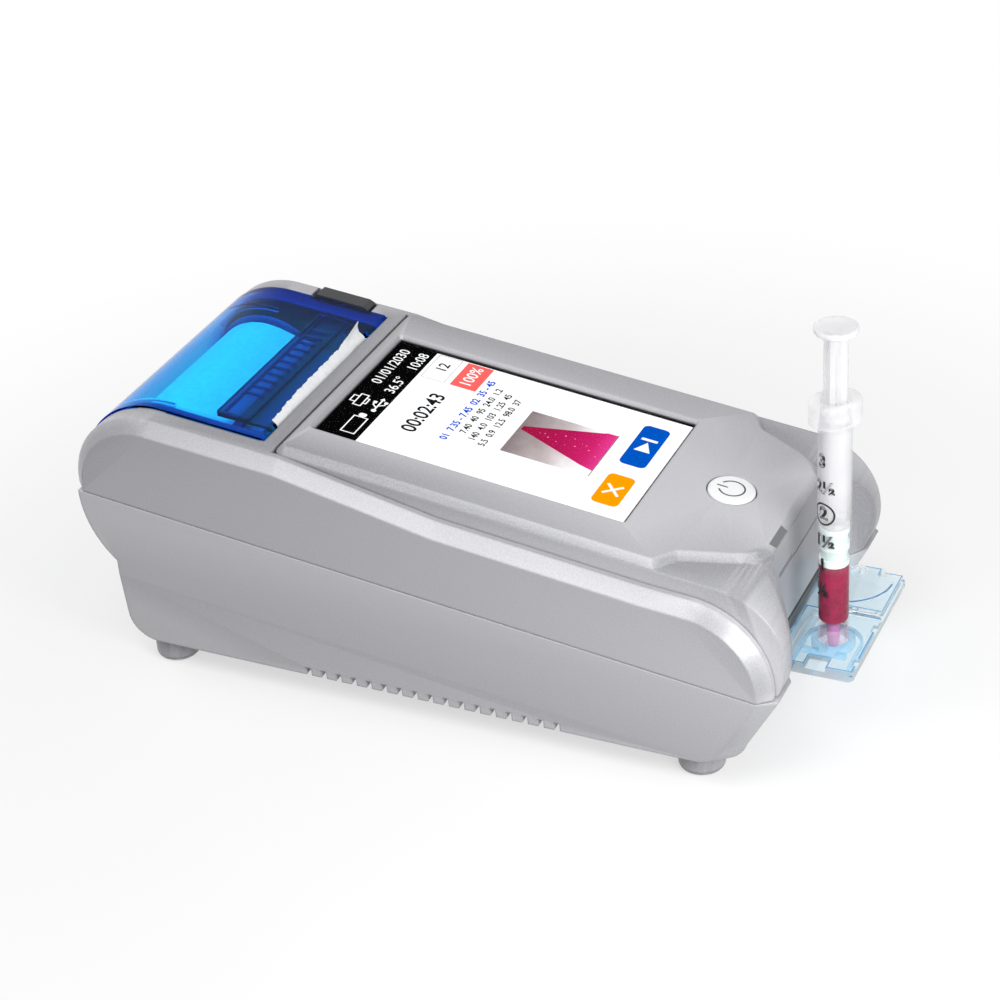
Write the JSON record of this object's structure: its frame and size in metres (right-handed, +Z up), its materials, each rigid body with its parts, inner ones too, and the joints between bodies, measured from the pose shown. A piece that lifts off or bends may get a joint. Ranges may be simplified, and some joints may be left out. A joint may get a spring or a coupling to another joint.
{
  "type": "blood gas analyzer",
  "caption": "Portable blood gas analyzer: wedge case with sloped touch screen, power button, printer hump under a clear blue door, sensor card in the nose and a syringe docked in it",
  "frame": {"origin": "middle of the overall outline, on the table the feet stand on", "axes": "+X across to the side of the release lever, -Y out of the nose where the card enters, +Z up"},
  "size_m": [0.1, 0.2315, 0.1308],
  "materials": {
    "case_plastic": "fine metallic lacquer, satin",
    "door_blue": "clear blue plastic, glossy",
    "lever_gray": "satin",
    "button_white": "glossy",
    "screen_glass": "clear, glossy",
    "screen_panel": "smooth",
    "dark_plastic": "matte",
    "frame_plastic": "matte",
    "board_green": "solder mask, semi-gloss",
    "socket_cream": "satin",
    "steel": "plain",
    "gear_white": "satin",
    "platen_rubber": "matte",
    "paper_white": "matte",
    "core_card": "matte",
    "battery_wrap": "shrink wrap",
    "heater_alloy": "machined",
    "plate_silver": "satin",
    "card_clear": "clear light blue, glossy",
    "card_blue": "clear blue, glossy",
    "contact_gold": "plated",
    "syringe_clear": "clear plastic, glossy",
    "plunger_milky": "milky clear plastic",
    "luer_pink": "clear pinkish plastic",
    "piston_mint": "smooth",
    "blood_red": "liquid"
  },
  "bodies": {
    "case": {"battery_pack": "battery_wrap", "battery_plug": "socket_cream", "board_chips": "dark_plastic", "board_screws": "steel", "board_sockets": "socket_cream", "button_board": "board_green", "button_switch": "dark_plastic", "card_guide": "dark_plastic", "casing_screws": "steel", "contact_block": "dark_plastic", "dc_jack": "dark_plastic", "door_pin": "steel", "feet": "case_plastic", "front_cover": "case_plastic", "heater_block": "heater_alloy", "idler_pin": "steel", "io_board": "board_green", "io_panel": "dark_plastic", "lcd_frame": "dark_plastic", "lcd_screen": "screen_panel", "lever_pin": "steel", "lower_case": "case_plastic", "main_board": "board_green", "paper_strip": "paper_white", "print_head": "dark_plastic", "printer_frame": "frame_plastic", "printer_motor": "steel", "rating_plate": "plate_silver", "ribbon_cables": "socket_cream", "sensor_board": "board_green", "shield_can": "steel", "speaker": "dark_plastic", "touch_glass": "screen_glass", "upper_case": "case_plastic", "usb_shells": "steel", "usb_tongues": "dark_plastic"},
    "printer_door": {"printer_door": "door_blue", "door_guide": "dark_plastic"},
    "release_lever": {"release_lever": "lever_gray"},
    "paper_roll": {"paper_roll": "paper_white", "roll_core": "core_card"},
    "platen": {"platen_roller": "platen_rubber", "platen_shaft": "steel", "platen_gear": "gear_white"},
    "idler": {"idler_gear": "gear_white"},
    "pinion": {"motor_pinion": "gear_white"},
    "power_button": {"power_button": "button_white"},
    "sensor_card": {"sensor_card": "card_clear", "port_collar": "card_blue", "card_contacts": "contact_gold", "lid_pin": "steel"},
    "card_lid": {"card_lid": "card_clear"},
    "syringe": {"syringe_barrel": "syringe_clear", "luer_collar": "luer_pink", "blood_sample": "blood_red"},
    "plunger": {"plunger_rod": "plunger_milky", "piston": "piston_mint"},
    "battery_hatch": {"battery_hatch": "case_plastic"}
  },
  "joints": [
    {"name": "printer_door_hinge", "type": "hinge", "parent": "case", "child": "printer_door", "pos_m": [0, 0.1139, 0.0637], "axis": [-1, 0, 0], "range_deg": [0, 100]},
    {"name": "release_lever_pivot", "type": "hinge", "parent": "case", "child": "release_lever", "pos_m": [0.043, 0.0774, 0.0828], "axis": [-1, 0, 0], "range_deg": [0, 25], "stiffness_Nm_per_rad": 0.002},
    {"name": "paper_roll_spin", "type": "hinge", "parent": "case", "child": "paper_roll", "pos_m": [0, 0.091, 0.062], "axis": [1, 0, 0], "continuous": true},
    {"name": "platen_spin", "type": "hinge", "parent": "case", "child": "platen", "pos_m": [0, 0.0574, 0.0754], "axis": [1, 0, 0], "continuous": true},
    {"name": "idler_spin", "type": "hinge", "parent": "case", "child": "idler", "pos_m": [0.03, 0.06402, 0.06756], "axis": [1, 0, 0], "continuous": true},
    {"name": "pinion_spin", "type": "hinge", "parent": "case", "child": "pinion", "pos_m": [0.03, 0.064, 0.0585], "axis": [1, 0, 0], "continuous": true},
    {"name": "power_button_press", "type": "slide", "parent": "case", "child": "power_button", "axis": [0, 0.136, -0.9907], "range_m": [0, 0.0012], "stiffness_N_per_m": 400},
    {"name": "sensor_card_slide", "type": "slide", "parent": "case", "child": "sensor_card", "axis": [0, -1, 0], "range_m": [0, 0.04]},
    {"name": "card_lid_hinge", "type": "hinge", "parent": "sensor_card", "child": "card_lid", "pos_m": [0.005, -0.1107, 0.0302], "axis": [0, -1, 0], "range_deg": [0, 105]},
    {"name": "syringe_lift", "type": "slide", "parent": "sensor_card", "child": "syringe", "axis": [0, 0, 1], "range_m": [0, 0.05]},
    {"name": "plunger_push", "type": "slide", "parent": "syringe", "child": "plunger", "axis": [0, 0, -1], "range_m": [0, 0.014], "deforming": ["blood_sample"]},
    {"name": "battery_hatch_drop", "type": "slide", "parent": "case", "child": "battery_hatch", "axis": [0, 0, -1], "range_m": [0, 0.03]}
  ],
  "couplings": [
    {"joint": "idler_spin", "follows": "platen_spin", "ratio": -0.7},
    {"joint": "pinion_spin", "follows": "platen_spin", "ratio": 1.4}
  ]
}
